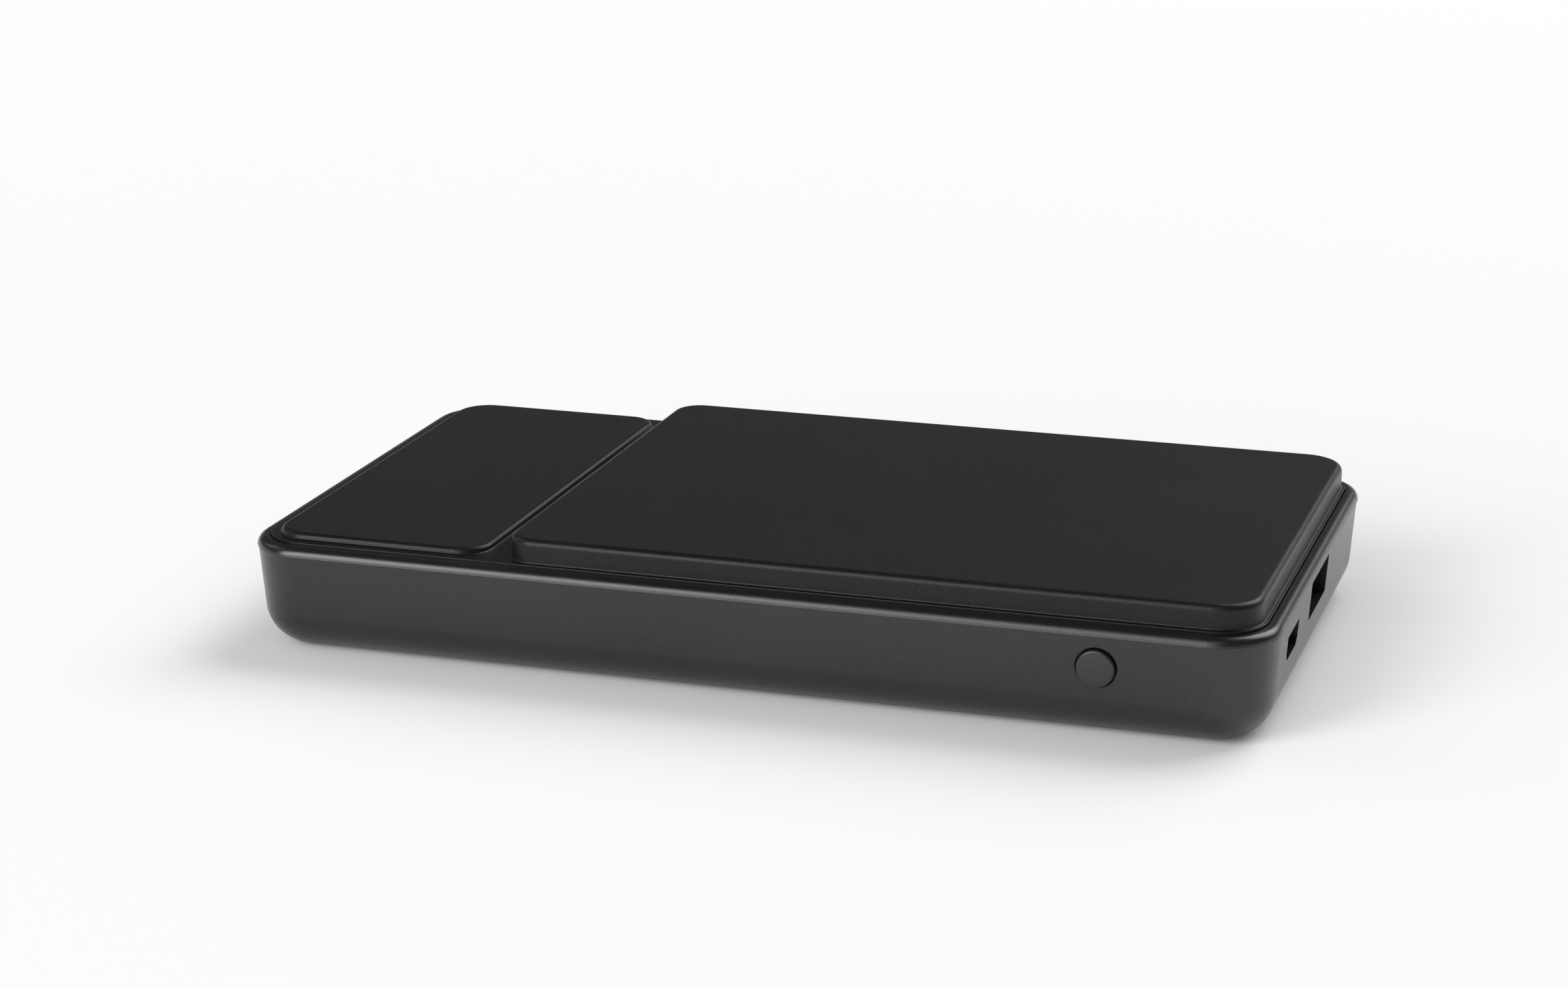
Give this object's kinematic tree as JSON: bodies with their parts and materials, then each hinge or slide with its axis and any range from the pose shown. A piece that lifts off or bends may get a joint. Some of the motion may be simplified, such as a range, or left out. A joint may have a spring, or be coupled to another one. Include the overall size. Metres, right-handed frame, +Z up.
{
  "type": "solar power bank",
  "caption": "Slim matte power bank with a raised wireless-charging platform, a push button on its front wall, connector ports in one end and a solar panel underneath.",
  "frame": {"origin": "middle of the underside", "axes": "+X along the length, towards the end with the ports; -Y towards the push button; +Z up, out of the charging platform"},
  "size_m": [0.1406, 0.0762, 0.0188],
  "materials": {
    "case_plastic": "fine matte grain, soft-touch",
    "button_plastic": "satin",
    "connector_steel": "tin-plated, satin",
    "contact_brass": "plated, bright",
    "tongue_plastic": "moulded",
    "switch_steel": "satin",
    "switch_plunger": "moulded",
    "board_green": "satin lacquer",
    "chip_black": "moulded",
    "ferrite_grey": "ground",
    "capacitor": "fired",
    "cell_foil": "satin laminated foil",
    "strap_nickel": "plain",
    "foam_black": "open foam",
    "tape_white": "adhesive",
    "insulation": "smooth",
    "coil_copper": "lacquered winding",
    "wire_red": "satin",
    "panel_board": "satin",
    "panel_cells": "polished silicon",
    "panel_cover": "clear, gloss",
    "screw_steel": "zinc-plated"
  },
  "bodies": {
    "case": {"lower_shell": "case_plastic", "top_frame": "case_plastic", "charging_lid": "case_plastic", "lid_tape": "tape_white", "switch_body": "switch_steel", "main_board": "board_green", "input_port_shell": "connector_steel", "input_port_tongue": "tongue_plastic", "input_port_contacts": "contact_brass", "output_port_shell": "connector_steel", "output_port_tongue": "tongue_plastic", "output_port_contacts": "contact_brass", "power_inductor": "ferrite_grey", "charge_chip": "chip_black", "output_chip": "chip_black", "coil_chip": "chip_black", "board_capacitors": "capacitor", "battery_cell_front": "cell_foil", "battery_cell_back": "cell_foil", "protection_board": "board_green", "battery_straps": "strap_nickel", "battery_pads": "foam_black", "insulation_sheet": "insulation", "charging_coil": "coil_copper", "coil_tape": "tape_white", "ferrite_plate": "ferrite_grey", "coil_leads": "wire_red", "solar_cover": "panel_cover", "solar_board": "panel_board", "solar_cells": "panel_cells", "solar_tape": "tape_white", "solar_leads": "wire_red", "case_screws": "screw_steel", "board_screws": "screw_steel"},
    "button": {"power_button": "button_plastic", "switch_plunger": "switch_plunger"}
  },
  "joints": [
    {"name": "button_press", "type": "slide", "parent": "case", "child": "button", "axis": [0, 1, 0], "range_m": [0, 0.00035], "stiffness_N_per_m": 1500, "springref_m": -0.0004}
  ]
}
